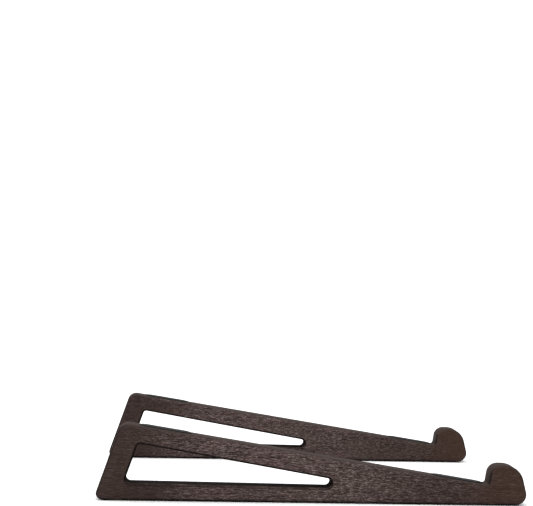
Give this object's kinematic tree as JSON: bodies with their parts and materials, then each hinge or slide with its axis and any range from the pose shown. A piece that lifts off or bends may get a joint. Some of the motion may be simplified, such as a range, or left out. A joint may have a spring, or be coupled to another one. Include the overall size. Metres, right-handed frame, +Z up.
{
  "type": "laptop stand",
  "caption": "Low wooden laptop stand made of a pair of free-standing wedge brackets with open windows, hooked front ends and thin rubber pads and feet.",
  "frame": {"origin": "on the desk, at the middle of the box around the pair", "axes": "+X forward towards the hooks, where the user sits, +Y to the user's right from the left bracket to the right one, +Z up"},
  "size_m": [0.2494, 0.234, 0.0441],
  "materials": {
    "stained_wood": "dark brown stained plywood board, satin, fine lengthwise grain on the sides and ply lines along the rim",
    "foot_rubber": "matt black",
    "pad_rubber": "matt black, finely textured"
  },
  "bodies": {
    "left_stand": {"left_bracket": "stained_wood", "left_rear_foot": "foot_rubber", "left_front_foot": "foot_rubber", "left_rear_pad": "pad_rubber", "left_front_pad": "pad_rubber"},
    "right_stand": {"right_bracket": "stained_wood", "right_rear_foot": "foot_rubber", "right_front_foot": "foot_rubber", "right_rear_pad": "pad_rubber", "right_front_pad": "pad_rubber"}
  },
  "joints": [
    {"name": "bracket_spacing", "type": "slide", "parent": "left_stand", "child": "right_stand", "axis": [0, 1, 0], "range_m": [-0.09, 0.06]}
  ]
}
